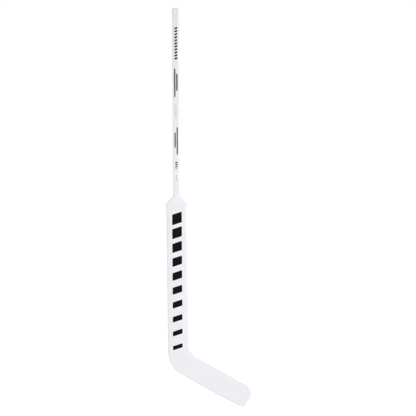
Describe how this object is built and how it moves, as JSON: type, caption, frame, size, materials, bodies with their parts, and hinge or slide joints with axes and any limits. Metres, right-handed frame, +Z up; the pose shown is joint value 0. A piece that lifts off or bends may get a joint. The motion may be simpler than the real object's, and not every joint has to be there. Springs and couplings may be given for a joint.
{
  "type": "hockey goalie stick",
  "caption": "Hockey goalie stick: flat shaft, wide foam-cored paddle and a curved blade set at an angle, laminated around a tubular spine, plain white.",
  "frame": {"origin": "middle of the shaft where the paddle's shoulder begins, just under the blocker hand", "axes": "+Z up along the shaft to the butt end, +X towards the toe, the shooter's side faces -Y"},
  "size_m": [0.3467, 0.0271, 1.6377],
  "materials": {
    "painted_laminate": "satin",
    "plug": "satin",
    "tube_laminate": "satin",
    "rail": "matte",
    "moulding": "matte",
    "foam": "matte"
  },
  "bodies": {
    "root": {"butt_plug": "plug", "shaft_wrap": "painted_laminate", "shaft_tube": "tube_laminate", "spine_foam": "foam", "shoulder_block_left": "moulding", "shoulder_block_right": "moulding", "paddle_core_left": "foam", "paddle_core_right": "foam", "edge_rail_left": "rail", "edge_rail_right": "rail", "paddle_skin_front": "painted_laminate", "paddle_skin_back": "painted_laminate", "heel_block": "moulding", "heel_patch_front": "tube_laminate", "heel_patch_back": "tube_laminate", "blade_rib": "tube_laminate", "blade_core_upper": "foam", "blade_core_lower": "foam", "blade_top_strip": "rail", "sole_strip": "rail", "toe_insert": "moulding", "blade_skin_front": "painted_laminate", "blade_skin_back": "painted_laminate"}
  },
  "joints": []
}
